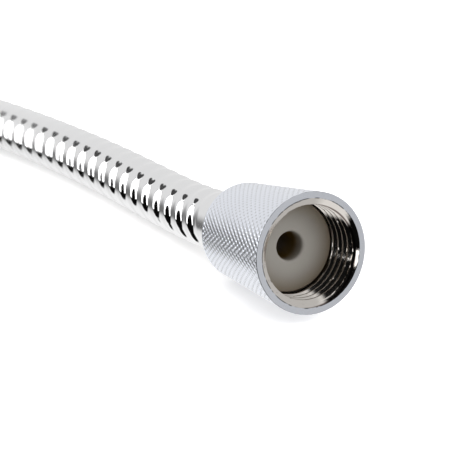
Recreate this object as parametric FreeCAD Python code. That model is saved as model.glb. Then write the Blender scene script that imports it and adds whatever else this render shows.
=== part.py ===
import FreeCAD, Part
import math
import os
from FreeCAD import Placement, Rotation, Vector

os.makedirs("parts", exist_ok=True)

# All sizes are in millimetres and degrees. The floor that the hose lies on is z = 0, and the
# origin is on it, under the middle of the near nut. A depth is measured back from a nut's mouth.

# Hose: a wound metal armour, in shallow waves one turn long, over a soft inner water tube
hose_d = 13.2
armour_wall = 1.1
band_pitch = 5.8
band_width = 1.6
groove_depth = 0.3
groove_flank = 1.3
tube_bore_d = 8.0

# Pipe thread inside both nuts, G 1/2: a plain bore of its crest diameter, and a lead-in chamfer
thread_crest_d = 18.63
thread_height = 1.16
thread_relief = 0.2
lead_in_depth = 0.8
lead_in_step = 0.215

# Nuts: the near one is long and tapered, the far one short and straight
nut_front_wall = 1.31
near_nut_rear_wall = 2.5
near_nut_length = 28.4
near_nut_rounding = 1.6
far_nut_length = 18.0
far_nut_rounding = 0.8
front_chamfer = 0.25

# Tail: flange, neck, collar and barbed stem
flange_depth = 8.4
flange_gap = 0.175
flange_thickness = 2.0
neck_d = 11.6
neck_length = 1.0
collar_thickness = 1.2
stem_length = 14.0
stem_bore_d = 5.74
barb_count = 4
barb_height = 0.35

# Ferrule, slip ring and washer
ferrule_wall = 0.4
bead_height = 0.3
bead_length = 1.8
slip_ring_thickness = 1.2
nut_travel = 12.0
washer_thickness = 2.0
washer_bore_d = 10.0

# Clearances
face_gap = 0.05
crimp_gap = 0.05
running_gap = 0.1
collar_gap = 0.15
nut_gap = 0.35
seat_gap = 0.46
barb_gap = 0.05
tube_play = 0.25

# How the near end lies: its nut rests on the edge of its rear rim, mouth raised a little
near_tilt = 7.6
near_heading = -6.5

# Coil of the length that is put away: spirals in on the floor, climbs, and spirals out on top
coil_outer_radius = 82.95
coil_quarter_turns = 10
turn_gap = 0.6
climb_quarters = 2
climb_steepness = 1.5

# Route of the free hose, x and y of its corners: the lead runs to the coil, the end leaves it
lead_route = [(-85.5, 7.2), (-126.5, 5.5), (-166.0, -0.3)]
end_first_run = 24.0
end_route = [(-76.0, -157.0), (-35.0, -150.0)]
arc_share = 0.45

hose_r = hose_d / 2
armour_bore_r = hose_r - armour_wall
tube_r = armour_bore_r - tube_play
lead_in_d = thread_crest_d + 2 * thread_height + 2 * lead_in_step
nut_front_d = lead_in_d + 2 * nut_front_wall
flange_d = thread_crest_d - 2 * flange_gap
stem_r = tube_bore_d / 2 - barb_gap
washer_front = flange_depth - face_gap - washer_thickness
flange_back = flange_depth + flange_thickness
ring_front = flange_back + face_gap
ring_back = ring_front + slip_ring_thickness
shoulder_depth = ring_back + face_gap
collar_front = flange_back + neck_length
hose_start = collar_front + collar_thickness + face_gap
sleeve_r = hose_r + crimp_gap
ferrule_r = sleeve_r + ferrule_wall
bead_r = ferrule_r + bead_height
bead_front = ring_back + nut_travel + face_gap
ferrule_end = bead_front + bead_length
near_nut_rear_d = 2 * (bead_r + nut_gap + near_nut_rear_wall)
turn_step = hose_d + turn_gap


def turned(outline):
    """Solid turned about the nut's axis from (radius, depth) corners; +Z points out of the mouth."""
    corners = [Vector(radius, 0, -depth) for radius, depth in outline]
    face = Part.Face(Part.makePolygon(corners + corners[:1]))
    solid = face.revolve(Vector(0, 0, 0), Vector(0, 0, 1), 360)
    if solid.Volume < 0:
        solid.reverse()
    return solid


def rim(solid, radius, depth):
    """The round edge of a turned solid with this radius at this depth."""
    return [
        edge
        for edge in solid.Edges
        if isinstance(edge.Curve, Part.Circle)
        and abs(edge.Curve.Radius - radius) < 0.001
        and abs(edge.Curve.Center.z + depth) < 0.001
    ]


def nut(length, rear_d, rounding, seal_depth):
    """Swivel nut: threaded mouth, wider seat round the flange, shoulder, and a bore for the hose."""
    front_r = nut_front_d / 2
    thread_end = seal_depth - thread_relief
    solid = turned([
        (lead_in_d / 2, 0),
        (front_r, 0),
        (rear_d / 2, length),
        (bead_r + nut_gap, length),
        (bead_r + nut_gap, shoulder_depth),
        (flange_d / 2 + seat_gap, shoulder_depth),
        (flange_d / 2 + seat_gap, thread_end),
        (thread_crest_d / 2, thread_end),
        (thread_crest_d / 2, lead_in_depth),
    ])
    solid = solid.makeFillet(rounding, rim(solid, rear_d / 2, length))
    return solid.makeChamfer(front_chamfer, rim(solid, front_r, 0))


def slip_ring():
    """Thin ring that carries the nut's shoulder and runs on the ferrule."""
    inner = ferrule_r + running_gap
    outer = flange_d / 2
    return turned([(inner, ring_front), (outer, ring_front), (outer, ring_back), (inner, ring_back)])


def tail():
    """Moulded tail: flange in the mouth, neck for the ferrule's lip, collar, and a barbed stem."""
    bore = stem_bore_d / 2
    neck = neck_d / 2
    collar = sleeve_r - collar_gap
    collar_back = collar_front + collar_thickness
    barb_pitch = stem_length / barb_count
    outline = [
        (bore, flange_depth),
        (flange_d / 2, flange_depth),
        (flange_d / 2, flange_back),
        (neck, flange_back),
        (neck, collar_front),
        (collar, collar_front),
        (collar, collar_back),
    ]
    for barb in range(barb_count):
        top = collar_back + barb * barb_pitch
        outline.append((stem_r, top))
        outline.append((stem_r - barb_height, top + barb_pitch))
    outline.append((bore, collar_back + stem_length))
    return turned(outline)


def ferrule():
    """Crimped sleeve: a lip behind the flange, a sleeve over the armour, and a bead that stops the nut."""
    lip_inner = neck_d / 2 + face_gap
    lip_front = flange_back + face_gap
    lip_back = collar_front - face_gap
    return turned([
        (lip_inner, lip_front),
        (ferrule_r, lip_front),
        (ferrule_r, bead_front),
        (bead_r, bead_front + bead_height),
        (bead_r, ferrule_end - bead_height),
        (ferrule_r, ferrule_end),
        (sleeve_r, ferrule_end),
        (sleeve_r, lip_back),
        (lip_inner, lip_back),
    ])


def washer():
    """Flat sealing washer that lies on the flange."""
    inner = washer_bore_d / 2
    outer = flange_d / 2
    back = flange_depth - face_gap
    return turned([(inner, washer_front), (outer, washer_front), (outer, back), (inner, back)])


def unit(vector):
    return Vector(vector).normalize()


def arc_from(start, tangent, end):
    """Arc that leaves start along tangent and ends at end."""
    chord = end - start
    across = chord - tangent * chord.dot(tangent)
    half = math.atan2(across.Length, chord.dot(tangent))
    sagitta = chord.Length / 2 * math.tan(half / 2)
    outside = unit(tangent * chord.Length - chord * math.cos(half))
    return Part.Arc(start, start + chord / 2 + outside * sagitta, end).toShape()


def biarc(start, start_tangent, end, end_tangent):
    """Two arcs that join two points along given tangents."""
    chord = end - start
    tangents = start_tangent + end_tangent
    spread = 2 * (1 - start_tangent.dot(end_tangent))
    along = chord.dot(tangents)
    reach = (math.sqrt(along ** 2 + spread * chord.dot(chord)) - along) / spread
    joint = (start + start_tangent * reach + end - end_tangent * reach) / 2
    joint_tangent = unit(end - end_tangent * reach - start - start_tangent * reach)
    return [arc_from(start, start_tangent, joint), arc_from(joint, joint_tangent, end)]


def bent(corners, name):
    """Wire of straight runs through corners, joined by tangent arcs as wide as the runs allow."""
    edges = []
    radii = []
    run_start = corners[0]
    for before, corner, after in zip(corners, corners[1:], corners[2:]):
        back = unit(before - corner)
        ahead = unit(after - corner)
        setback = arc_share * min((before - corner).Length, (after - corner).Length)
        half_turn = (math.pi - back.getAngle(ahead)) / 2
        radius = setback / math.tan(half_turn)
        arc_start = corner + back * setback
        arc_end = corner + ahead * setback
        middle = corner + unit(back + ahead) * (radius / math.cos(half_turn) - radius)
        edges.append(Part.LineSegment(run_start, arc_start).toShape())
        edges.append(Part.Arc(arc_start, middle, arc_end).toShape())
        radii.append(round(radius))
        run_start = arc_end
    edges.append(Part.LineSegment(run_start, corners[-1]).toShape())
    print(name, "bend radii", radii)
    return Part.Wire(edges)


def ring_at(point, tangent, radius):
    """Circle square to the tangent, its X axis kept upright."""
    circle = Part.makeCircle(radius)
    circle.Placement = Placement(point, Rotation(Vector(0, 0, 1), Vector(), tangent, "ZXY"))
    return Part.Wire([circle])


def swept(wire, radius):
    """Round bar along a wire."""
    first = wire.OrderedEdges[0]
    start = first.FirstParameter
    sweep = Part.BRepOffsetAPI.MakePipeShell(wire)
    sweep.add(ring_at(first.valueAt(start), first.tangentAt(start), radius))
    sweep.build()
    sweep.makeSolid()
    return sweep.shape()


def hollow(wire, outer_radius, inner_radius, name):
    """Tube along a wire; its volume is printed as a share of its section times its length."""
    tube = swept(wire, outer_radius).cut(swept(wire, inner_radius)).Solids[0]
    section = math.pi * (outer_radius ** 2 - inner_radius ** 2)
    print(name, "volume share", round(tube.Volume / (section * wire.Length), 4))
    return tube


def station(wire, distance):
    """Point and tangent of a wire at a distance along it."""
    for edge in wire.OrderedEdges:
        if distance <= edge.Length + 1e-6:
            place = edge.getParameterByLength(min(distance, edge.Length))
            return edge.valueAt(place), edge.tangentAt(place)
        distance -= edge.Length
    raise ValueError("the distance is longer than the wire")


def banded(wire, first_groove, last_groove, name):
    """Armour along a wire: raised bands between grooves, a plain stretch at each end, and a bore."""
    groove_r = hose_r - groove_depth
    profile = [(0, hose_r)]
    count = int((last_groove - first_groove) / band_pitch)
    for groove in range(count + 1):
        floor = first_groove + groove * band_pitch
        floor_end = floor + band_pitch - band_width - 2 * groove_flank
        profile.append((floor - groove_flank, hose_r))
        profile.append((floor, groove_r))
        profile.append((floor_end, groove_r))
        profile.append((floor_end + groove_flank, hose_r))
    profile.append((wire.Length, hose_r))
    rings = [ring_at(*station(wire, distance), radius) for distance, radius in profile]
    print(name, "bands", count, "length", round(wire.Length, 1))
    return Part.makeLoft(rings, True, True).cut(swept(wire, armour_bore_r)).Solids[0]


def flat_direction(angle):
    return Vector(math.cos(math.radians(angle)), math.sin(math.radians(angle)), 0)


def coil_wire(entry, heading):
    """Put-away coil: straight end, biarcs of a quarter turn, straight end, wound to the left."""
    quarter = math.pi / 2
    half_coil = coil_quarter_turns / 2
    slope = turn_step / (2 * math.pi)
    inner_radius = coil_outer_radius - slope * half_coil * quarter
    start = entry + flat_direction(heading) * hose_d
    lean = math.degrees(math.atan(slope / coil_outer_radius))
    start_angle = heading - 90 - lean
    centre = start - flat_direction(start_angle) * coil_outer_radius
    climb_run = climb_quarters * quarter * inner_radius
    edges = [Part.LineSegment(entry, start).toShape()]
    places = []
    for step in range(coil_quarter_turns + 1):
        turns_left = step - half_coil
        angle = start_angle + 90 * step
        radius = inner_radius + slope * abs(turns_left) * quarter
        side = 0 if turns_left == 0 else math.copysign(slope, turns_left)
        climbed = min(max(turns_left / climb_quarters + 0.5, 0), 1)
        rise = climb_steepness * turn_step / climb_run * radius if 0 < climbed < 1 else 0
        point = centre + flat_direction(angle) * radius + Vector(0, 0, turn_step * climbed)
        tangent = flat_direction(angle + 90) * radius + flat_direction(angle) * side + Vector(0, 0, rise)
        places.append((point, unit(tangent)))
    for (point, tangent), (next_point, next_tangent) in zip(places, places[1:]):
        edges += biarc(point, tangent, next_point, next_tangent)
    exit_point, exit_tangent = places[-1]
    edges.append(Part.LineSegment(exit_point, exit_point + exit_tangent * hose_d).toShape())
    return Part.Wire(edges)


def print_least_gap(wire):
    """Least gap between the coil's own turns, measured on points along its middle line."""
    spacing = hose_d / 4
    points_apart = 16
    points = wire.discretize(Distance=spacing)
    gaps = [
        (points[here] - points[there]).Length - hose_d
        for here in range(len(points))
        for there in range(here + points_apart, len(points))
    ]
    print("coil least gap", round(min(gaps), 2))


def reach(axis_share, length, rear_d, rounding):
    """How far a nut's rounded rear edge lies beyond its mouth's centre, along a direction."""
    edge_r = rear_d / 2 - rounding
    return (length - rounding) * axis_share + edge_r * math.sqrt(1 - axis_share ** 2) + rounding


# Near end: the nut's axis, and its mouth placed so that the rear edge rests on the floor
near_axis = Vector(
    math.cos(math.radians(near_tilt)) * math.cos(math.radians(near_heading)),
    math.cos(math.radians(near_tilt)) * math.sin(math.radians(near_heading)),
    math.sin(math.radians(near_tilt)),
)
near_rear = (near_nut_length, near_nut_rear_d, near_nut_rounding)
front_side = nut_front_d / 2 * math.sqrt(1 - near_axis.y ** 2)
front_lead = nut_front_d / 2 * math.sqrt(1 - near_axis.x ** 2)
near_mouth = Vector(
    (reach(near_axis.x, *near_rear) - front_lead) / 2,
    (front_side - max(front_side, reach(-near_axis.y, *near_rear))) / 2,
    reach(near_axis.z, *near_rear),
)
near_place = Placement(near_mouth, Rotation(Vector(0, 0, 1), near_axis))

# Lead: out of the ferrule along the nut's axis, down to the floor, and on to the coil
lead_start = near_mouth - near_axis * hose_start
touchdown = near_mouth - near_axis * ((near_mouth.z - hose_r) / near_axis.z)
lead_corners = [lead_start, touchdown] + [Vector(x, y, hose_r) for x, y in lead_route]
lead_wire = bent(lead_corners, "lead")

# Coil
lead_heading = unit(lead_corners[-1] - lead_corners[-2])
coil = coil_wire(lead_corners[-1], math.degrees(math.atan2(lead_heading.y, lead_heading.x)))
print_least_gap(coil)

# End: off the coil's top layer, down to the height of the far nut's axis, and into its ferrule
coil_exit = coil.OrderedEdges[-1]
end_start = coil_exit.valueAt(coil_exit.LastParameter)
end_heading = coil_exit.tangentAt(coil_exit.LastParameter)
far_height = nut_front_d / 2
end_corners = [end_start, end_start + end_heading * end_first_run]
end_corners += [Vector(x, y, far_height) for x, y in end_route]
end_wire = bent(end_corners, "end")
far_axis = unit(end_corners[-1] - end_corners[-2])
far_mouth = end_corners[-1] + far_axis * hose_start
far_place = Placement(far_mouth, Rotation(Vector(0, 0, 1), far_axis))

first_groove = ferrule_end - hose_start + band_pitch / 2
nodes = {
    "near_nut": nut(*near_rear, flange_depth),
    "near_slip_ring": slip_ring(),
    "near_tail": tail(),
    "near_ferrule": ferrule(),
    "far_nut": nut(far_nut_length, nut_front_d, far_nut_rounding, washer_front),
    "far_slip_ring": slip_ring(),
    "far_tail": tail(),
    "far_ferrule": ferrule(),
    "far_washer": washer(),
}
for name, solid in nodes.items():
    solid.Placement = near_place if name.startswith("near") else far_place

nodes["armour_lead"] = banded(lead_wire, first_groove, lead_wire.Length - band_pitch, "lead")
nodes["armour_coil"] = hollow(coil, hose_r, armour_bore_r, "armour coil")
nodes["armour_end"] = banded(end_wire, band_pitch, end_wire.Length - first_groove, "end")
nodes["tube_lead"] = hollow(lead_wire, tube_r, tube_bore_d / 2, "tube lead")
nodes["tube_coil"] = hollow(coil, tube_r, tube_bore_d / 2, "tube coil")
nodes["tube_end"] = hollow(end_wire, tube_r, tube_bore_d / 2, "tube end")

print("hose length", round(lead_wire.Length + coil.Length + end_wire.Length, 1))
print("mouth to mouth", round(lead_wire.Length + coil.Length + end_wire.Length + 2 * hose_start, 1))
print("near mouth", near_mouth, "axis", near_axis)
print("far mouth", far_mouth, "axis", far_axis)
for corner in lead_corners + end_corners:
    print("corner", [round(value, 1) for value in corner])

for name, solid in nodes.items():
    if not solid.isValid():
        print("not valid", name)
    solid.exportStep("parts/" + name + ".step")
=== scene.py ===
import math

import bmesh
import bpy
import numpy as np
from mathutils import Matrix, Vector


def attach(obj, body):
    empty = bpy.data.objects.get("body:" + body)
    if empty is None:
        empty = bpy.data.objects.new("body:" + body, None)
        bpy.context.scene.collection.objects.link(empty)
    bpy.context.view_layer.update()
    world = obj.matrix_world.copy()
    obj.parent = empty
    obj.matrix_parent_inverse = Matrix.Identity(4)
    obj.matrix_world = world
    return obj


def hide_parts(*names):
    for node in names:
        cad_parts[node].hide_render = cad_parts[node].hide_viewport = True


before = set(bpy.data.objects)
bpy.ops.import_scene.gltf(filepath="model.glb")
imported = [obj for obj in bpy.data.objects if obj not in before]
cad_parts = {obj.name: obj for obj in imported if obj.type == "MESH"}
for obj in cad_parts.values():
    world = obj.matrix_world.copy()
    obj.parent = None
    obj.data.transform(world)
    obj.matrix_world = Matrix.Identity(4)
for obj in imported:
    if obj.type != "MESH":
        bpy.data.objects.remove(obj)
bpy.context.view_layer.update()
scene = bpy.context.scene

# The viewpoint: low over the table, close to the nut's mouth and turned towards it, with a long
# lens, so that the hose runs away to the left and out of the picture.
camera_place = Vector((0.19986, -0.14155, 0.09658))
camera_heading = math.radians(146.879)
camera_dip = math.radians(18.382)
focal_pixels = 1300.0
picture_pixels = 452.0
sensor_width = 36.0

camera_data = bpy.data.cameras.new("camera")
camera_data.sensor_width = sensor_width
camera_data.lens = focal_pixels / picture_pixels * sensor_width
camera_data.clip_start = 0.01
camera_data.clip_end = 50.0
camera = bpy.data.objects.new("camera", camera_data)
camera.location = camera_place
camera.rotation_euler = (math.pi / 2 - camera_dip, 0, camera_heading - math.pi / 2)
scene.collection.objects.link(camera)
scene.camera = camera

# Armour: the polished metal skin of the hose, one strip wound round the water tube, with a shallow
# wave to each turn and its ends crimped under the ferrules. It leaves the near nut along the nut's
# axis, settles onto the table and is coiled in two layers, whose last turn leads to the far nut.
hose_r = 0.0066
armour_bore_r = 0.0055
strip_pitch = 0.0058
wave_depth = 0.00031
wave_twist = 0.3125
near_turns = 29
lead_points = [
    (0.0012, 0.0008, 0.0120), (-0.0215, 0.0034, 0.0090), (-0.0389, 0.0052, 0.0069),
    (-0.0600, 0.0063, 0.0066), (-0.0855, 0.0071, 0.0066), (-0.1265, 0.0053, 0.0066),
    (-0.1660, -0.0003, 0.0066),
]
end_points = [
    (-0.1462, -0.1657, 0.0204), (-0.1223, -0.1632, 0.0204), (-0.0760, -0.1570, 0.0120),
    (-0.0560, -0.1536, 0.0120), (-0.0350, -0.1500, 0.0120),
]
coil_r = 0.08295
coil_step = 0.0138
coil_turns = 2.5
coil_climb_turns = 0.5
coil_middle = Vector((-0.16919, -0.08458, 0))
coil_start = math.radians(96.83)
coil_points_per_turn = 16


def coil_points():
    """Control points of the coil: inwards on the table, up at the middle, and outwards on top."""
    reach_out = 1 / math.cos(math.pi / coil_points_per_turn)
    for step in range(1, int(coil_turns * coil_points_per_turn)):
        turns = step / coil_points_per_turn
        from_middle = turns - coil_turns / 2
        radius = coil_r + coil_step * (abs(from_middle) - coil_turns / 2)
        climbed = min(max(from_middle / coil_climb_turns + 0.5, 0), 1)
        height = hose_r + coil_step * climbed * climbed * (3 - 2 * climbed)
        angle = coil_start + 2 * math.pi * turns
        flat = Vector((math.cos(angle), math.sin(angle), 0)) * radius * reach_out
        yield tuple(coil_middle + flat + Vector((0, 0, height)))


def spline_line(points):
    """Points along a smooth NURBS line with these control points."""
    data = bpy.data.curves.new("hose_line", "CURVE")
    data.dimensions = "3D"
    spline = data.splines.new("NURBS")
    spline.points.add(len(points) - 1)
    for point, place in zip(spline.points, points):
        point.co = (*place, 1.0)
    spline.order_u = 3
    spline.use_endpoint_u = True
    spline.resolution_u = 12
    line = bpy.data.objects.new("hose_line", data)
    scene.collection.objects.link(line)
    mesh = bpy.data.meshes.new_from_object(line)
    places = [vertex.co.copy() for vertex in mesh.vertices]
    bpy.data.objects.remove(line)
    bpy.data.meshes.remove(mesh)
    return places


hose_line = spline_line(lead_points + list(coil_points()) + end_points)
hose_length = sum((b - a).length for a, b in zip(hose_line, hose_line[1:]))


class Nodes:
    """Adds nodes to a tree. A plain value sets an input, and an output socket is linked to it."""

    def __init__(self, tree):
        self.tree = tree

    def add(self, kind, inputs=(), **settings):
        node = self.tree.nodes.new(kind)
        for name, value in settings.items():
            setattr(node, name, value)
        pairs = inputs.items() if isinstance(inputs, dict) else enumerate(inputs)
        for key, value in pairs:
            if isinstance(value, bpy.types.NodeSocket):
                self.tree.links.new(value, node.inputs[key])
            else:
                node.inputs[key].default_value = value
        return node

    def math(self, operation, *values):
        return self.add("ShaderNodeMath", values, operation=operation).outputs[0]

    def total(self, first, *others):
        for other in others:
            first = self.math("ADD", first, other)
        return first

    def product(self, first, *others):
        for other in others:
            first = self.math("MULTIPLY", first, other)
        return first

    def vector(self, operation, *values):
        node = self.add("ShaderNodeVectorMath", values, operation=operation)
        return node.outputs["Value" if operation == "DOT_PRODUCT" else "Vector"]

    def scaled(self, vector, factor):
        inputs = {"Vector": vector, "Scale": factor}
        return self.add("ShaderNodeVectorMath", inputs, operation="SCALE").outputs["Vector"]

    def ramp(self, value, low, high, start=0.0, end=1.0, kind="SMOOTHSTEP"):
        """From start to end as the value goes from low to high, eased, and held outside them."""
        inputs = {"Value": value, "From Min": low, "From Max": high, "To Min": start, "To Max": end}
        return self.add("ShaderNodeMapRange", inputs, interpolation_type=kind).outputs[0]

    def straight(self, value, low, high, start=0.0, end=1.0):
        """The same without easing."""
        return self.ramp(value, low, high, start, end, "LINEAR")

    def noise(self, place, scale, detail):
        inputs = {"Vector": place, "Scale": scale, "Detail": detail}
        return self.add("ShaderNodeTexNoise", inputs).outputs["Fac"]

    def bump(self, height, distance):
        inputs = {"Height": height, "Distance": distance, "Strength": 1.0}
        return self.add("ShaderNodeBump", inputs).outputs[0]

    def stored(self, name):
        """A value that the mesh holds at its points, read by a material."""
        return self.add("ShaderNodeAttribute", attribute_name=name).outputs["Fac"]


def geometry_tree(name, inputs):
    """An empty Geometry Nodes tree with a geometry in and out and these named inputs."""
    tree = bpy.data.node_groups.new(name, "GeometryNodeTree")
    tree.interface.new_socket("Geometry", in_out="INPUT", socket_type="NodeSocketGeometry")
    tree.interface.new_socket("Geometry", in_out="OUTPUT", socket_type="NodeSocketGeometry")
    kinds = {int: "NodeSocketInt", float: "NodeSocketFloat"}
    for key, value in inputs.items():
        kind = kinds.get(type(value), "NodeSocketMaterial")
        socket = tree.interface.new_socket(key, in_out="INPUT", socket_type=kind)
        if value is not None:
            socket.default_value = value
    return tree


def end_tree(n, geometry, material):
    """The tree's last nodes: real geometry with its material, handed out."""
    solid = n.add("GeometryNodeRealizeInstances", [geometry]).outputs[0]
    made = n.add("GeometryNodeSetMaterial", {"Geometry": solid, "Material": material}).outputs[0]
    n.add("NodeGroupOutput", [made])


def line_object(name, places):
    """A mesh line through places, for a tree to work on."""
    mesh = bpy.data.meshes.new(name)
    mesh.from_pydata(places, [(i, i + 1) for i in range(len(places) - 1)], [])
    made = bpy.data.objects.new(name, mesh)
    scene.collection.objects.link(made)
    return made


def shaped(source, tree, values):
    """The plain mesh that a tree makes from an object, with its inputs set by name."""
    modifier = source.modifiers.new(tree.name, "NODES")
    modifier.node_group = tree
    for item in tree.interface.items_tree:
        if item.item_type == "SOCKET" and item.in_out == "INPUT" and item.name in values:
            modifier[item.identifier] = values[item.name]
    depsgraph = bpy.context.evaluated_depsgraph_get()
    mesh = bpy.data.meshes.new_from_object(source.evaluated_get(depsgraph), depsgraph=depsgraph)
    source.modifiers.remove(modifier)
    return mesh


def outward(mesh):
    """Faces turned outwards, by the sign of the volume."""
    mesh.calc_loop_triangles()
    places = np.empty(len(mesh.vertices) * 3)
    mesh.vertices.foreach_get("co", places)
    places = places.reshape(-1, 3)
    corners = np.empty(len(mesh.loop_triangles) * 3, dtype=int)
    mesh.loop_triangles.foreach_get("vertices", corners)
    a, b, c = (places[corners.reshape(-1, 3)[:, k]] for k in range(3))
    if np.einsum("ij,ij->i", a, np.cross(b, c)).sum() < 0:
        mesh.flip_normals()


def piece(name, mesh, body, *cad_names):
    """A finished piece, smooth, riding on its body in place of these plain solids."""
    outward(mesh)
    mesh.shade_smooth()
    made = bpy.data.objects.new(name, mesh)
    scene.collection.objects.link(made)
    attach(made, body)
    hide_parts(*cad_names)
    return made


def wound_strip_tree():
    """A strip wound along a line, with one wave across its width, and the bore inside it."""
    tree = geometry_tree("wound strip", {
        "Start": 0.0, "Length": 0.1, "Turns": 10, "Steps": 96, "Columns": 12,
        "Radius": hose_r, "Bore": armour_bore_r, "Wave": 0.0003, "Twist": 0.0, "Material": None,
    })
    n = Nodes(tree)
    given = tree.nodes.new("NodeGroupInput").outputs
    line = n.add("GeometryNodeMeshToCurve", {"Mesh": given["Geometry"]}).outputs[0]
    line = n.add("GeometryNodeSetCurveNormal", {"Curve": line}, mode="Z_UP").outputs[0]
    place = n.add("ShaderNodeSeparateXYZ", [n.add("GeometryNodeInputPosition").outputs[0]]).outputs
    grid_x = n.math("ADD", place["X"], 0.5)
    grid_y = n.math("ADD", place["Y"], 0.5)

    def around(geometry, distance, angle, radius):
        """Geometry moved to this distance, angle and radius about the line."""
        sample = n.add("GeometryNodeSampleCurve", {"Curves": line, "Length": distance}, mode="LENGTH")
        side = sample.outputs["Normal"]
        up = n.vector("CROSS_PRODUCT", sample.outputs["Tangent"], side)
        sideways = n.scaled(side, n.math("COSINE", angle))
        upwards = n.scaled(up, n.math("SINE", angle))
        out = n.scaled(n.vector("ADD", sideways, upwards), radius)
        spot = n.vector("ADD", sample.outputs["Position"], out)
        return n.add("GeometryNodeSetPosition", {"Geometry": geometry, "Position": spot}).outputs[0]

    # one turn more than the strip has, so that both ends can be cut square
    all_turns = n.math("ADD", given["Turns"], 1.0)
    rows = n.math("ADD", n.product(all_turns, given["Steps"]), 1.0)
    columns = n.math("ADD", given["Columns"], 1.0)
    grid = n.add("GeometryNodeMeshGrid", [1.0, 1.0, rows, columns]).outputs["Mesh"]
    turn = n.product(grid_x, all_turns)
    pitch = n.math("DIVIDE", given["Length"], given["Turns"])
    along = n.product(n.math("SUBTRACT", n.total(turn, grid_y), 1.0), pitch)
    along = n.math("MINIMUM", n.math("MAXIMUM", along, 0.0), given["Length"])
    distance = n.math("ADD", along, given["Start"])
    # the wave starts where the hose leaves the nut, deepest there, is flatter along the first
    # stretch and whole again in the coil, and dies out at both ends of a length, which are round
    bare = n.ramp(distance, 0.0242, 0.0256)
    drawn = n.total(n.ramp(distance, 0.026, 0.050, -0.15, 0.2), n.ramp(distance, 0.06, 0.12, 0.0, 0.25))
    drawn = n.product(drawn, n.ramp(distance, 0.18, 0.26, 1.0, 0.0))
    to_end = n.math("MINIMUM", along, n.math("SUBTRACT", given["Length"], along))
    fade = n.straight(n.math("DIVIDE", to_end, pitch), 0.0, 0.15)
    depth = n.product(given["Wave"], bare, n.math("SUBTRACT", 1.0, drawn), fade)
    wave = n.math("MULTIPLY_ADD", n.math("COSINE", n.product(grid_y, 2 * math.pi)), -0.5, 0.5)
    radius = n.math("SUBTRACT", given["Radius"], n.product(depth, wave))
    angle = n.product(n.total(turn, given["Twist"]), 2 * math.pi)
    strip = around(grid, distance, angle, radius)

    # the bore: in at one end, along it a ring at each turn, and out at the other end
    last = n.math("ADD", given["Turns"], 2.0)
    around_count = n.math("ADD", given["Steps"], 1.0)
    grid = n.add("GeometryNodeMeshGrid", [1.0, 1.0, around_count, n.math("ADD", last, 1.0)]).outputs["Mesh"]
    ring = n.math("ROUND", n.product(grid_y, last))
    before_last = n.math("LESS_THAN", ring, n.math("SUBTRACT", last, 0.5))
    inward = n.product(n.math("GREATER_THAN", ring, 0.5), before_last)
    wall = n.math("SUBTRACT", given["Bore"], given["Radius"])
    radius = n.math("ADD", given["Radius"], n.product(inward, wall))
    ring_turn = n.math("MINIMUM", n.math("SUBTRACT", ring, 1.0), given["Turns"])
    along = n.product(n.math("MAXIMUM", ring_turn, 0.0), pitch)
    angle = n.product(n.total(grid_x, given["Twist"]), 2 * math.pi)
    bore = around(grid, n.math("ADD", along, given["Start"]), angle, radius)
    bore = n.add("GeometryNodeFlipFaces", [bore]).outputs[0]

    joined = n.add("GeometryNodeJoinGeometry")
    tree.links.new(strip, joined.inputs[0])
    tree.links.new(bore, joined.inputs[0])
    weld = {"Geometry": joined.outputs[0], "Distance": 0.00001}
    end_tree(n, n.add("GeometryNodeMergeByDistance", weld).outputs[0], given["Material"])
    return tree


def armour_finish():
    """Polished metal with painted shade where turns face each other, duller where it is far from the nut."""
    made = bpy.data.materials.new("armour_metal")
    made.use_nodes = True
    n = Nodes(made.node_tree)
    shader = made.node_tree.nodes["Principled BSDF"].inputs
    link = made.node_tree.links.new
    place = n.add("ShaderNodeTexCoord").outputs["Object"]
    # painted shade: the metal darkens where its own turns face it
    painted_turn_shade = n.add("ShaderNodeAmbientOcclusion", {"Color": (0.88, 0.88, 0.885, 1), "Distance": 0.012},
                   samples=6, only_local=True).outputs["Color"]
    polish = n.straight(n.noise(place, 120.0, 4.0), 0.3, 0.7, 0.04, 0.09)
    from_nut = n.add("ShaderNodeSeparateXYZ", [place]).outputs["X"]
    dulled = n.straight(from_nut, -0.06, -0.14, 0.0, 0.17)
    link(painted_turn_shade, shader["Base Color"])
    link(n.total(polish, dulled), shader["Roughness"])
    link(n.bump(n.noise(place, 700.0, 3.0), 0.000006), shader["Normal"])
    shader["Metallic"].default_value = 1.0
    return made


hose_line_object = line_object("hose_line", hose_line)
wound_strip = wound_strip_tree()
armour_metal = armour_finish()
near_length = near_turns * strip_pitch
rest_turns = round((hose_length - near_length) / strip_pitch)
both = bmesh.new()
for start, length, turns, steps, columns in (
    (0.0, near_length, near_turns, 96, 16),
    (near_length, hose_length - near_length, rest_turns, 32, 6),
):
    both.from_mesh(shaped(hose_line_object, wound_strip, {
        "Start": start, "Length": length, "Turns": turns, "Steps": steps, "Columns": columns,
        "Radius": hose_r, "Bore": armour_bore_r, "Wave": wave_depth, "Twist": wave_twist,
        "Material": armour_metal,
    }))
armour_mesh = bpy.data.meshes.new("armour")
both.to_mesh(armour_mesh)
both.free()
armour_mesh.materials.append(armour_metal)
armour = piece("armour", armour_mesh, "hose", "armour_lead", "armour_coil", "armour_end")
# its turns don't mirror each other: the painted shade in its colour between them stands for that
armour.visible_glossy = False


# Water tube: the soft black rubber tube inside the armour, which carries the water. It is one
# extruded length, pushed over the barbs of both tails and gripped there by the ferrules.
tube_r = 0.00525
tube_bore_r = 0.004
tube_ring_step = 0.012


def colour_mix(n, factor, one, other):
    """Colour between two, each a socket or a plain colour."""
    node = n.add("ShaderNodeMix", {0: factor}, data_type="RGBA")
    for socket, value in ((node.inputs[6], one), (node.inputs[7], other)):
        if isinstance(value, bpy.types.NodeSocket):
            n.tree.links.new(value, socket)
        else:
            socket.default_value = (*value, 1)
    return node.outputs[2]


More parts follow.
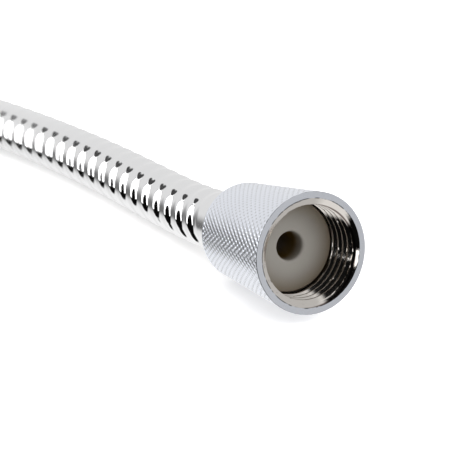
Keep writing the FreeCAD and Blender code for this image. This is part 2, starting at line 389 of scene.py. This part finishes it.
def finish(name, colour, metallic, roughness, spread, grain, grain_size, inside=None, pit_shade=None):
    """A worn finish: its roughness drifts by spread, and its grain is a bump of this height, in m.
    inside is the colour and roughness where the mesh holds inner as 1; its colour is painted shade in
    the tails and a painted reflection in the nuts. pits, the colour at the bottom of a knurl, is painted
    shade, and brings painted shade along the front face's edges and on the thread crests with it."""
    made = bpy.data.materials.new(name)
    made.use_nodes = True
    n = Nodes(made.node_tree)
    shader = made.node_tree.nodes["Principled BSDF"].inputs
    link = made.node_tree.links.new
    place = n.add("ShaderNodeTexCoord").outputs["Object"]
    drift = n.noise(place, 160.0, 3.0)
    rough = n.straight(drift, 0.3, 0.7, roughness - spread, roughness + spread)
    stain = n.straight(drift, 0.3, 0.7, 0.96, 1.0)
    tint = colour_mix(n, stain, tuple(c * 0.5 for c in colour), colour)
    # painted shade in the knurl's pits
    if pit_shade:
        tint = colour_mix(n, n.ramp(n.stored("pit"), 0.2, 0.9), tint, pit_shade)
    if inside:
        # inside's colour: painted shade in the tails, a painted reflection of the tail in the nuts
        inside_painted_colour, inner_roughness = inside
        inner = n.stored("inner")
        tint = colour_mix(n, inner, tint, inside_painted_colour)
        inputs = {0: inner, 2: rough, 3: inner_roughness}
        rough = n.add("ShaderNodeMix", inputs, data_type="FLOAT").outputs[0]
    if pit_shade:
        # painted shade along the front face's outer and inner edges, broken up by noise
        ragged = n.ramp(n.noise(place, 700.0, 2.0), 0.40, 0.55)
        front_edge_shade = n.product(n.ramp(n.stored("front_edge_shade"), 0.2, 0.8), ragged)
        tint = colour_mix(n, front_edge_shade, tint, tuple(c * 0.25 for c in pit_shade))
        # painted shade on the thread crests
        tint = colour_mix(n, n.product(n.stored("crest"), 0.9), tint, (0.10, 0.06, 0.05))
    link(tint, shader["Base Color"])
    link(rough, shader["Roughness"])
    link(n.bump(n.noise(place, 1 / grain_size, 2.0), grain), shader["Normal"])
    shader["Metallic"].default_value = metallic
    return made


tube_mesh = shaped(hose_line_object, wound_strip, {
    "Length": hose_length, "Turns": round(hose_length / tube_ring_step), "Steps": 24, "Columns": 2,
    "Radius": tube_r, "Bore": tube_bore_r, "Wave": 0.0,
})
bpy.data.objects.remove(hose_line_object)
water_tube = piece("water_tube", tube_mesh, "hose", "tube_lead", "tube_coil", "tube_end")
water_tube.visible_glossy = False
tube_rubber = finish("tube_rubber", (0.03, 0.028, 0.026), 0.0, 0.6, 0.1, 0.00001, 0.0008)
tube_mesh.materials.append(tube_rubber)


# Swivel nuts: turned from brass, knurled outside, cut with a half-inch pipe thread inside, and
# chromed. Each spins on the hose's end and slides back over it. Sizes are in mm, as a radius and a
# depth behind the mouth.
nut_front_r = 12.0
near_nut_length = 28.4
near_nut_rear_r = 10.2
near_nut_rounding = 1.6
near_thread_end = 8.2
far_nut_length = 18.0
far_nut_rounding = 0.8
far_thread_end = 6.15
mouth_r = 10.69
mouth_rounding = 0.12
lead_in_depth = 0.8
lead_in_bend = (10.03, 0.34)
lead_in_rows = 18
crest_r = 9.315
thread_height = 1.16
thread_pitch = 1.814
thread_rows = 20
seat_r = 9.60
shoulder_depth = 11.70
hose_hole_r = 7.70
knurl_count = 60
knurl_step = 1.88
knurl_height = 0.15
knurl_rows = 8
knurl_fade = 0.9
bare_rear = 1.3
sides_per_knurl = 6
near_axis = (0.984844, -0.112209, 0.132256)
near_mouth = (0.013702, -0.000614, 0.013669)
far_axis = (0.985736, 0.168296, 0)
far_mouth = (-0.022530, -0.147871, 0.012)
weight_names = ("knurl", "thread", "inner", "front_edge_shade", "screwed")


def turned_tree():
    """An outline turned about its axis, with a knurl and a thread where its points ask for them."""
    tree = geometry_tree("turned piece", {
        "Steps": 96, "Rows": 10, "Knurl Count": knurl_count, "Knurl Height": 0.0,
        "Knurl Step": knurl_step / 1000, "Thread Height": 0.0, "Thread Pitch": thread_pitch / 1000,
        "Thread Crest": crest_r / 1000, "Thread Rows": thread_rows, "Material": None,
    })
    n = Nodes(tree)
    given = tree.nodes.new("NodeGroupInput").outputs
    columns = n.math("ADD", given["Steps"], 1.0)
    grid = n.add("GeometryNodeMeshGrid", [1.0, 1.0, columns, given["Rows"]]).outputs["Mesh"]
    place = n.add("ShaderNodeSeparateXYZ", [n.add("GeometryNodeInputPosition").outputs[0]]).outputs
    turn = n.math("ADD", place["X"], 0.5)
    row = n.product(n.math("ADD", place["Y"], 0.5), n.math("SUBTRACT", given["Rows"], 1.0))
    row = n.math("ROUND", row)

    def named(name):
        node = n.add("GeometryNodeInputNamedAttribute", {"Name": name}, data_type="FLOAT")
        return node.outputs["Attribute"]

    def sampled(value, kind="FLOAT"):
        """The value at this row's point of the outline."""
        inputs = {"Geometry": given["Geometry"], "Value": value, "Index": row}
        return n.add("GeometryNodeSampleIndex", inputs, data_type=kind).outputs["Value"]

    outline = sampled(n.add("GeometryNodeInputPosition").outputs[0], "FLOAT_VECTOR")
    spot = n.add("ShaderNodeSeparateXYZ", [outline]).outputs
    knurl, thread, inner, front_edge_shade, screwed = (sampled(named(name)) for name in weight_names)

    # knurl: two sets of grooves that cross, deepest where they meet
    round_by = n.product(turn, given["Knurl Count"])
    along = n.math("DIVIDE", spot["Z"], given["Knurl Step"])
    one = n.math("PINGPONG", n.math("ADD", round_by, along), 0.5)
    one = n.math("MULTIPLY_ADD", one, -2.0, 1.0)
    other = n.math("PINGPONG", n.math("SUBTRACT", round_by, along), 0.5)
    other = n.math("MULTIPLY_ADD", other, -2.0, 1.0)
    pit = n.product(one, other, knurl)
    groove_share = 0.35
    groove = n.product(n.math("MAXIMUM", one, other), knurl, groove_share)
    cut = n.product(n.total(groove, n.product(pit, 1 - groove_share)), given["Knurl Height"])

    # thread: ridges along a screw line, cut outwards into the wall, with the rows slid onto the line
    screw = n.math("DIVIDE", spot["Z"], given["Thread Pitch"])
    screw = n.math("SUBTRACT", screw, n.math("SUBTRACT", turn, 0.5))
    nearest = n.math("ROUND", n.product(screw, given["Thread Rows"]))
    slid = n.math("SUBTRACT", n.math("DIVIDE", nearest, given["Thread Rows"]), screw)
    slid = n.product(slid, screwed)
    new_z = n.math("MULTIPLY_ADD", slid, given["Thread Pitch"], spot["Z"])
    # from a crest, 0, to a root, 1: flat, a narrow chamfer, the flank, and flat again
    saw = n.product(n.math("PINGPONG", n.total(screw, slid), 0.5), 2.0)
    chamfer_share = 0.036
    chamfer = n.straight(saw, 0.1, 0.2, 0.0, chamfer_share)
    flank = n.straight(saw, 0.2, 0.9, 0.0, 1 - chamfer_share)
    thread_r = n.math("MULTIPLY_ADD", n.total(chamfer, flank), given["Thread Height"], given["Thread Crest"])
    deep = n.product(n.math("MAXIMUM", n.math("SUBTRACT", thread_r, spot["X"]), 0.0), thread)
    # where the thread crests get painted shade in the material
    crest = n.product(n.straight(saw, 0.05, 0.15, 1.0, 0.0), thread)

    radius = n.math("ADD", n.math("SUBTRACT", spot["X"], cut), deep)
    angle = n.product(turn, 2 * math.pi)
    new_x = n.product(radius, n.math("COSINE", angle))
    new_y = n.product(radius, n.math("SINE", angle))
    made = grid
    stored = {"inner": inner, "front_edge_shade": front_edge_shade, "pit": pit, "crest": crest, "screwed": screwed}
    for name, value in stored.items():
        inputs = {"Geometry": made, "Name": name, "Value": value}
        made = n.add("GeometryNodeStoreNamedAttribute", inputs, data_type="FLOAT", domain="POINT").outputs[0]
    new_place = n.add("ShaderNodeCombineXYZ", [new_x, new_y, new_z]).outputs[0]
    moved = n.add("GeometryNodeSetPosition", {"Geometry": made, "Position": new_place}).outputs[0]
    # split along the screw line, so that each crest runs on without a step
    on_thread = n.math("GREATER_THAN", named("screwed"), 0.4)
    split = n.add("GeometryNodeTriangulate", {"Mesh": moved, "Selection": on_thread},
                  quad_method="SHORTEST_DIAGONAL").outputs[0]
    weld = {"Geometry": split, "Distance": 0.000001}
    end_tree(n, n.add("GeometryNodeMergeByDistance", weld).outputs[0], given["Material"])
    return tree


def rounded(corners):
    """Closed outline through (radius, depth, rounding) corners, with an arc at each rounding."""
    places = []
    for index, (radius, depth, rounding) in enumerate(corners):
        here = Vector((radius, depth))
        if not rounding:
            places.append(here)
            continue
        before = Vector(corners[index - 1][:2]) - here
        after = Vector(corners[(index + 1) % len(corners)][:2]) - here
        run_in = min(rounding, before.length / 3) * 0.5
        run_out = min(rounding, after.length / 3) * 0.5
        half = before.angle(after) / 2
        before.normalize()
        after.normalize()
        middle = here + (before + after).normalized() * (rounding / math.sin(half))
        start = here + before * (rounding / math.tan(half))
        end = here + after * (rounding / math.tan(half))
        first = start - middle
        final = end - middle
        turn = math.atan2(first.x * final.y - first.y * final.x, first.dot(final))
        steps = 3 if rounding < 0.5 else 6
        places.append(start + before * run_in)
        for step in range(steps + 1):
            places.append(middle + Matrix.Rotation(turn * step / steps, 2) @ first)
        places.append(end + after * run_out)
    return places + places[:1]


def ticked(places, step, chosen):
    """The outline with extra points at every multiple of this depth, on runs whose middle is chosen."""
    out = []
    for a, b in zip(places, places[1:]):
        out.append(a)
        if chosen((a + b) / 2):
            first, last = sorted((a.y, b.y))
            ticks = range(math.ceil(first / step + 0.05), math.floor(last / step - 0.05) + 1)
            extra = [a + (b - a) * ((tick * step - a.y) / (b.y - a.y)) for tick in ticks]
            out += extra if b.y > a.y else extra[::-1]
    return out + places[-1:]


def filled(places, spacing, chosen):
    """The outline with extra points at most this far apart, on runs whose middle is chosen."""
    out = []
    for a, b in zip(places, places[1:]):
        count = 1
        if chosen((a + b) / 2):
            count = max(1, math.ceil((b - a).length / spacing - 1e-6))
        out += [a + (b - a) * step / count for step in range(count)]
    return out + places[-1:]


def mouth_place(mouth, axis):
    """Matrix that puts a fitting's mouth here, turned so that its local Z points out along axis."""
    out = Vector(axis).normalized()
    side = Vector((0, 0, 1)).cross(out).normalized()
    up = out.cross(side)
    return Matrix.Translation(mouth) @ Matrix((up, side, out)).transposed().to_4x4()


def plain_weights(radius, depth):
    """No knurl, thread, polish or dirt."""
    return 0, 0, 0, 0, 0


def turned_piece(name, outline, place, material, body, cad_name, weights=plain_weights, **values):
    """A piece turned from its outline in mm and put in place by a matrix."""
    source = line_object("outline", [(p.x / 1000, 0, -p.y / 1000) for p in outline])
    for index, kind in enumerate(weight_names):
        layer = source.data.attributes.new(kind, "FLOAT", "POINT")
        layer.data.foreach_set("value", [float(weights(p.x, p.y)[index]) for p in outline])
    mesh = shaped(source, turned, {"Rows": len(outline), "Material": material, **values})
    bpy.data.objects.remove(source)
    mesh.transform(place)
    made = piece(name, mesh, body, cad_name)
    mesh.set_sharp_from_angle(angle=math.radians(34))
    mesh.name = name
    return made


def nut_outline(length, rear_r, rounding, thread_end):
    """The nut's outline, with a point for each row of its knurl, thread and lead-in."""
    outline = rounded([
        (mouth_r, 0, mouth_rounding), (nut_front_r, 0, mouth_rounding), (rear_r, length, rounding),
        (hose_hole_r, length, 0.3), (hose_hole_r, shoulder_depth, 0), (seat_r, shoulder_depth, 0),
        (seat_r, thread_end, 0), (crest_r, thread_end, 0), (crest_r, lead_in_depth, 0),
        (*lead_in_bend, 0),
    ])
    on_crest = crest_r + 0.005

    def knurled(p):
        outside = p.x > nut_front_r - (nut_front_r - rear_r) * p.y / length - 0.1
        return outside and 0.2 < p.y < length - rounding / 2

    outline = ticked(outline, knurl_step / knurl_rows, knurled)
    outline = ticked(outline, thread_pitch / thread_rows, lambda p: p.x < on_crest and p.y < thread_end)
    return filled(outline, thread_pitch / lead_in_rows,
                  lambda p: on_crest < p.x < mouth_r - 0.09 and p.y < lead_in_depth)


def nut_weights(length, rear_r, thread_end):
    """Where the knurl, thread, polished inside with painted reflection and painted edge shade are."""
    def weights(radius, depth):
        outside = radius > nut_front_r - (nut_front_r - rear_r) * depth / length - 0.25 and depth > 0.02
        knurl = min(1, max(0, (length - bare_rear - depth) / knurl_fade)) if outside else 0
        threaded = radius < mouth_r - 0.07 and depth < thread_end + 0.01
        cut = min(1, max(0, (thread_end + 0.1 - depth) / 0.4)) if threaded else 0
        mouth_edge = mouth_r - 0.03
        inner = radius < mouth_edge and depth < shoulder_depth + 0.3
        # painted shade along the front face's outer and inner edges
        on_rims = abs(radius - mouth_r) < 0.05 or radius > nut_front_r - 0.08
        front_edge_shade = depth < 0.05 and on_rims or depth < 0.1 and abs(radius - mouth_edge) < 0.06
        screwed = radius < crest_r + 0.005 and lead_in_depth + 0.1 < depth < thread_end - 0.1
        return knurl, cut, inner, front_edge_shade, screwed
    return weights


turned = turned_tree()
fitting_places = {"near": mouth_place(near_mouth, near_axis), "far": mouth_place(far_mouth, far_axis)}
# inside: a warm tint, the painted reflection of the ivory tail, on smoother chrome; the pit colour is
# painted shade
nut_chrome = finish("nut_chrome", (0.86, 0.885, 0.95), 1.0, 0.18, 0.03, 0.000004, 0.0003,
                    inside=((0.88, 0.835, 0.785), 0.06), pit_shade=(0.60, 0.62, 0.66))
for end, length, rear_r, rounding, thread_end in (
    ("near", near_nut_length, near_nut_rear_r, near_nut_rounding, near_thread_end),
    ("far", far_nut_length, nut_front_r, far_nut_rounding, far_thread_end),
):
    turned_piece(
        end + "_nut_knurled", nut_outline(length, rear_r, rounding, thread_end), fitting_places[end],
        nut_chrome, end + "_nut", end + "_nut", nut_weights(length, rear_r, thread_end),
        **{"Steps": sides_per_knurl * knurl_count, "Knurl Height": knurl_height / 1000,
           "Thread Height": thread_height / 1000},
    )


# Tails: ivory-grey moulded plastic, one in each end of the hose. Each has a flat flange, which the
# nut pulls on, and a barbed stem, which holds the water tube. Painted shade turns the water bore dark
# brown deep inside, and darkens the flange a little towards its rim.
water_bore_r = 2.87
flange_front = 8.4
flange_back = 10.4
flange_r = 9.14
neck_r = 5.8
collar_front = 11.4
collar_back = 12.6
collar_r = 6.5
barb_r = 3.95
barb_root_r = 3.6
barb_length = 3.5
barb_count = 4
tail_spacing = 0.8
# painted shade: deep in the water bore from this depth on, and on the flange towards its rim
bore_shade_from = 8.9
bore_shade_run = 3.2
rim_shade = 0.6
rim_shade_from = 4.5
rim_shade_run = 4.6

tail_corners = [
    (water_bore_r, flange_front, 0.6), (flange_r, flange_front, 0.15), (flange_r, flange_back, 0.1),
    (neck_r, flange_back, 0), (neck_r, collar_front, 0),
    (collar_r, collar_front, 0.1), (collar_r, collar_back, 0.1),
]
for barb in range(barb_count):
    barb_front = collar_back + barb * barb_length
    tail_corners += [(barb_r, barb_front, 0), (barb_root_r, barb_front + barb_length, 0)]
tail_corners.append((water_bore_r, collar_back + barb_count * barb_length, 0.2))


def bore_or_flange(p):
    """The water bore and the flange's front, where the painted shade needs points of its own."""
    return p.x < water_bore_r + 0.03 and p.y > 9 or p.y < flange_front + 0.05 and p.x < flange_r - 0.24


def tail_weights(radius, depth):
    """Painted shade: deep in the water bore, and on the flange towards its rim."""
    if radius < water_bore_r + 0.43:
        return 0, 0, min(1, max(0, (depth - bore_shade_from) / bore_shade_run)), 0, 0
    return 0, 0, rim_shade * min(1, max(0, (radius - rim_shade_from) / rim_shade_run)) ** 1.5, 0, 0


# inside: the dark brown of the painted shade in the water bore and towards the flange's rim
tail_plastic = finish("tail_plastic", (0.345, 0.330, 0.302), 0.0, 0.45, 0.08, 0.00001, 0.0006,
                      inside=((0.11, 0.060, 0.002), 0.6))
tail_plastic.node_tree.nodes["Principled BSDF"].inputs["Specular IOR Level"].default_value = 0.2
tail_outline = filled(rounded(tail_corners), tail_spacing, bore_or_flange)
tails = {
    end: turned_piece(
        end + "_tail_moulded", tail_outline, place, tail_plastic, "hose", end + "_tail", tail_weights)
    for end, place in fitting_places.items()
}


# Ferrules: thin drawn steel sleeves that crimp the armour's ends onto the tails. The bead at the
# back stops the nut, and the lip at the front sits behind the flange.
ferrule_front = 10.45
ferrule_lip_r = 5.85
ferrule_lip_back = 11.35
ferrule_bore_r = 6.65
ferrule_r = 7.05
bead_front = 23.70
bead_rise = 0.3
ferrule_end = 25.5

bead_r = ferrule_r + bead_rise
ferrule_outline = rounded([
    (ferrule_lip_r, ferrule_front, 0.1), (ferrule_r, ferrule_front, 0.3), (ferrule_r, bead_front, 0.1),
    (bead_r, bead_front + bead_rise, 0.15), (bead_r, ferrule_end - bead_rise, 0.15),
    (ferrule_r, ferrule_end, 0.1), (ferrule_bore_r, ferrule_end, 0),
    (ferrule_bore_r, ferrule_lip_back, 0), (ferrule_lip_r, ferrule_lip_back, 0),
])
ferrule_steel = finish("ferrule_steel", (0.78, 0.78, 0.77), 1.0, 0.16, 0.05, 0.000002, 0.0004)
ferrules = {
    end: turned_piece(
        end + "_ferrule_crimped", ferrule_outline, place, ferrule_steel, "hose", end + "_ferrule")
    for end, place in fitting_places.items()
}


# Slip rings: thin natural nylon rings, cut from tube. Each lies loose between the flange's back and
# the nut's shoulder, so that the nut turns easily, and slides back with the nut.
slip_ring_bore_r = 7.15
slip_ring_front = 10.45
slip_ring_back = 11.65

slip_ring_outline = rounded([
    (slip_ring_bore_r, slip_ring_front, 0.1), (flange_r, slip_ring_front, 0.2),
    (flange_r, slip_ring_back, 0.2), (slip_ring_bore_r, slip_ring_back, 0.1),
])
slip_nylon = finish("slip_ring_nylon", (0.78, 0.77, 0.73), 0.0, 0.4, 0.05, 0.000005, 0.0005)
slip_rings = {
    end: turned_piece(
        end + "_slip_ring_turned", slip_ring_outline, place, slip_nylon, end + "_ring", end + "_slip_ring")
    for end, place in fitting_places.items()
}


# Washer: a flat black rubber ring, punched from sheet. It lies on the far tail's flange, in the
# nut's mouth, and seals the joint to the tap.
washer_bore_r = 5.0
washer_front = 6.35
washer_back = 8.35
washer_rounding = 0.25

washer_outline = rounded([
    (washer_bore_r, washer_front, washer_rounding), (flange_r, washer_front, washer_rounding),
    (flange_r, washer_back, washer_rounding), (washer_bore_r, washer_back, washer_rounding),
])
washer_rubber = finish("washer_rubber", (0.025, 0.025, 0.026), 0.0, 0.7, 0.1, 0.00001, 0.0004)
washer = turned_piece(
    "far_washer_cut", washer_outline, fitting_places["far"], washer_rubber, "hose", "far_washer")


# Floor: the plain white sheet that the hose lies on, so brightly lit that only a faint shadow is
# left. It glows a little for the camera alone, and the metal doesn't mirror it.
floor_half = 6.0
floor_glow = 0.42


def staged(name, mesh):
    """An object of the surroundings, which isn't part of the hose."""
    made = bpy.data.objects.new(name, mesh)
    scene.collection.objects.link(made)
    return made


def staged_material(name, mesh):
    """A new material on a mesh of the surroundings, its nodes, and its output's surface."""
    made = bpy.data.materials.new(name)
    made.use_nodes = True
    mesh.materials.append(made)
    nodes = made.node_tree.nodes
    return Nodes(made.node_tree), nodes["Principled BSDF"], nodes["Material Output"].inputs["Surface"]


floor_corners = [(floor_half * x, floor_half * y, 0) for x, y in ((-1, -1), (1, -1), (1, 1), (-1, 1))]
floor_mesh = bpy.data.meshes.new("floor")
floor_mesh.from_pydata(floor_corners, [], [(0, 1, 2, 3)])
floor = staged("floor", floor_mesh)
floor.visible_glossy = False
n, principled, surface = staged_material("floor_white", floor_mesh)
principled.inputs["Base Color"].default_value = (0.9, 0.9, 0.9, 1)
principled.inputs["Roughness"].default_value = 0.9
strength = n.product(n.add("ShaderNodeLightPath").outputs["Is Camera Ray"], floor_glow)
glow = n.add("ShaderNodeEmission", {"Color": (1, 1, 1, 1), "Strength": strength}).outputs[0]
lit = n.add("ShaderNodeAddShader", [principled.outputs[0], glow]).outputs[0]
n.tree.links.new(lit, surface)


# Studio: what the bright metal mirrors, painted on the inside of a dome that only reflected rays
# meet. Across is towards +Y and height towards +Z, both as shares of the dome's radius.
dome_r = 1.3
dome_middle = Vector((-0.03, 0.0, 0.01))
white_light = 1.0
pale_light = 0.79
black_light = 0.003
box_light = 2.2
side_box_light = 2.4
lamp_light = 1.5

dome_mesh = bpy.data.meshes.new("studio_dome")
round_dome = bmesh.new()
bmesh.ops.create_uvsphere(round_dome, u_segments=96, v_segments=48, radius=dome_r)
round_dome.to_mesh(dome_mesh)
round_dome.free()
dome_mesh.transform(Matrix.Translation(dome_middle))
dome = staged("studio_dome", dome_mesh)
n, principled, surface = staged_material("studio_light", dome_mesh)
n.tree.nodes.remove(principled)
from_middle = n.vector("SUBTRACT", n.add("ShaderNodeTexCoord").outputs["Object"], dome_middle)
direction = n.add("ShaderNodeSeparateXYZ", [n.scaled(from_middle, 1 / dome_r)]).outputs
forward, across, height = direction["X"], direction["Y"], direction["Z"]

# a white tent, whose edge bends with height and has a dim frame line, and a grey band across it
edge = n.total(
    n.straight(height, -0.07, 0.3, -0.455, -0.40), n.straight(height, -0.37, -0.07, 0.09, 0.0),
    n.straight(height, -0.70, -0.55, 0.29, 0.0), n.straight(height, 0.49, 0.52, 0.0, 0.30),
)
past_edge = n.math("SUBTRACT", edge, across)
opening = n.ramp(past_edge, 0.0, 0.02)
frame_line = n.product(n.ramp(past_edge, -0.035, -0.015), n.ramp(past_edge, 0.0, 0.02, 1.0, 0.0))
frame_line = n.product(frame_line, n.ramp(height, 0.45, 0.5, 0.4, 0.0))
grey_band = n.product(
    n.ramp(height, -0.42, -0.28), n.ramp(height, -0.20, 0.12, 1.0, 0.0),
    n.ramp(across, -0.1, 0.2, 0.62, 0.0))
tent = n.math("SUBTRACT", n.ramp(height, -0.6, -0.35, white_light, 0.80), n.total(grey_band, frame_line))
# through the tent's opening: a soft box in the dark, and the pale ceiling above it
soft_box = n.product(
    n.ramp(height, -0.31, -0.28), n.ramp(height, 0.50, 0.52, 1.0, 0.0),
    n.ramp(forward, -0.50, -0.42, 1.0, 0.0))
ceiling_height = n.math("ADD", height, n.straight(across, -0.40, -0.10, -0.05, 0.0))
ceiling = n.ramp(ceiling_height, 0.61, 0.65, 0.0, 0.78)
dark_room = n.ramp(height, 0.50, 0.55, black_light, 0.06)
seen_through = n.total(n.math("MULTIPLY_ADD", soft_box, box_light, ceiling), dark_room)
left = n.add("ShaderNodeMix", {0: opening, 2: tent, 3: seen_through}, data_type="FLOAT").outputs[0]
# right of the tent: a dark room between a pale floor and a pale ceiling, with a tall box at its far
# left and a small lamp beside the camera, the bright streak on the lead-in's right side
dark = n.product(
    n.ramp(height, -0.60, -0.48), n.ramp(height, 0.70, 0.78, 1.0, 0.0),
    n.ramp(across, 0.12, 0.25, 1.0, 0.0))
side_box = n.product(
    n.ramp(across, -0.86, -0.80, 1.0, 0.0), n.ramp(height, -0.25, -0.15),
    n.ramp(height, 0.40, 0.50, 1.0, 0.0))
lamp = n.product(
    n.ramp(across, -0.505, -0.485), n.ramp(across, -0.40, -0.38, 1.0, 0.0),
    n.ramp(height, -0.03, 0.0), n.ramp(height, 0.22, 0.25, 1.0, 0.0))
right = n.total(
    n.ramp(across, 0.15, 0.36, pale_light, 0.52), n.product(dark, black_light - pale_light),
    n.product(side_box, side_box_light), n.product(lamp, lamp_light))
past_tent = n.ramp(n.math("SUBTRACT", forward, n.ramp(across, -0.30, 0.0, -0.50, 0.05)), 0.0, 0.08)
seen = n.add("ShaderNodeMix", {0: past_tent, 2: left, 3: right}, data_type="FLOAT").outputs[0]
glow = n.add("ShaderNodeEmission", {"Color": (1, 1, 1, 1), "Strength": seen}).outputs[0]
n.tree.links.new(glow, surface)


# Black card: a matt black sheet close to the hose, in the tent's opening. Only reflected rays meet
# it, and it draws the dark needle in the waves next to the nut.
card_distance = 0.4
card_directions = ((-0.48, -0.36), (-0.63, 0.12), (-0.90, 0.30), (-0.90, -0.36))

card_corners = []
for card_across, card_height in card_directions:
    forward_squared = 1 - card_across ** 2 - card_height ** 2
    card_forward = -math.sqrt(forward_squared)
    card_corners.append(dome_middle + card_distance * Vector((card_forward, card_across, card_height)))
card_mesh = bpy.data.meshes.new("black_card")
card_mesh.from_pydata(card_corners, [], [(0, 1, 2, 3)])
card = staged("black_card", card_mesh)
n, principled, surface = staged_material("card_black", card_mesh)
principled.inputs["Base Color"].default_value = (0.01, 0.01, 0.01, 1)
principled.inputs["Roughness"].default_value = 1.0
principled.inputs["Specular IOR Level"].default_value = 0.0
for stand in (dome, card):
    stand.visible_camera = False
    stand.visible_diffuse = False
    stand.visible_shadow = False
    stand.visible_transmission = False


# Soft light: white behind everything for the camera, and for the matt pieces a large soft light from
# above and behind the right of the picture, with warm dimness opposite it.
light_from = (0.05, 0.50, 0.86)
light_level = 1.9
dim_side = (0.10, 0.07, 0.05)

world = bpy.data.worlds.new("world")
world.use_nodes = True
n = Nodes(world.node_tree)
toward = n.vector("DOT_PRODUCT", n.add("ShaderNodeTexCoord").outputs["Generated"], light_from)
soft = colour_mix(n, n.ramp(toward, -0.2, 0.65), dim_side, (light_level,) * 3)
seen_white = n.add("ShaderNodeLightPath").outputs["Is Camera Ray"]
background = world.node_tree.nodes["Background"].inputs
world.node_tree.links.new(colour_mix(n, seen_white, soft, (1.0, 1.0, 1.0)), background["Color"])
background["Strength"].default_value = 1.0
scene.world = world
scene.view_settings.view_transform = "Standard"
